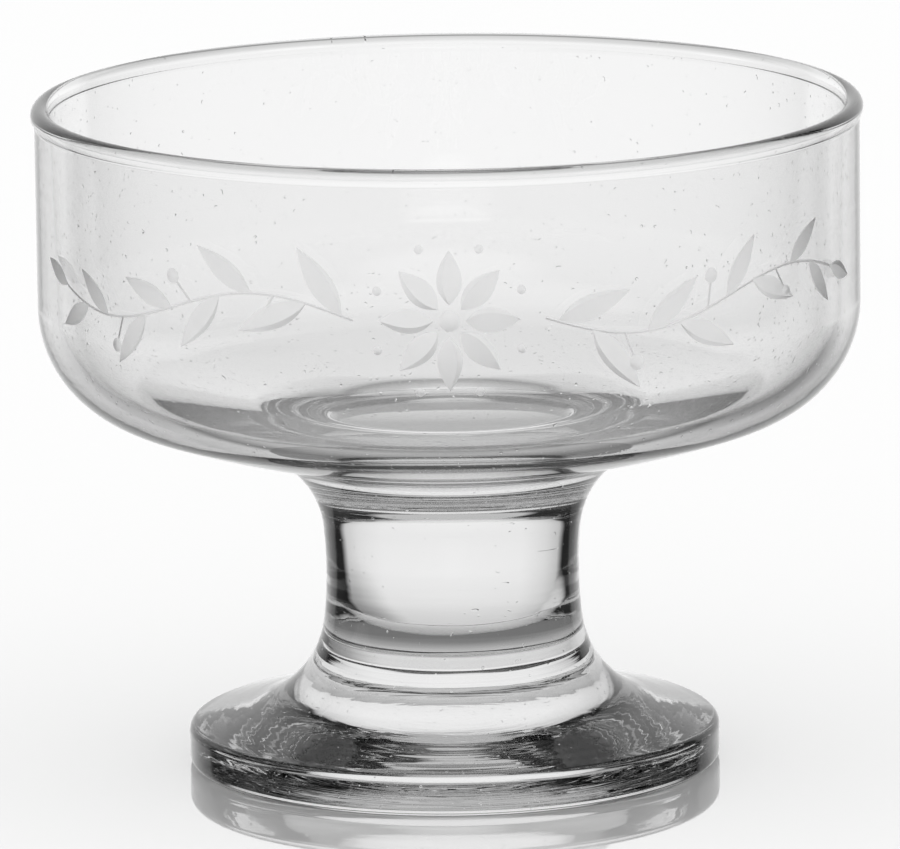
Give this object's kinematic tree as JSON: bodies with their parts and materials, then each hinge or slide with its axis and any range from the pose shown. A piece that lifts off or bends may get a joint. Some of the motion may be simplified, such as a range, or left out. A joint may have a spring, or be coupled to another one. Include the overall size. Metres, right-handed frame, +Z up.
{
  "type": "parfait glass",
  "caption": "Low footed dessert glass in clear glass: wide round bowl with a rolled rim, short solid waisted stem and thick round foot.",
  "frame": {"origin": "middle of the plane that the foot rests on", "axes": "+Z up along the glass's axis; the glass is round, so X and Y are free"},
  "size_m": [0.102, 0.102, 0.0826],
  "materials": {
    "clear_glass": "fire-polished colourless soda-lime glass, with a shallow grey wheel-cut garland round the bowl's wall"
  },
  "bodies": {
    "root": {"bowl": "clear_glass", "stem": "clear_glass", "foot": "clear_glass"}
  },
  "joints": []
}
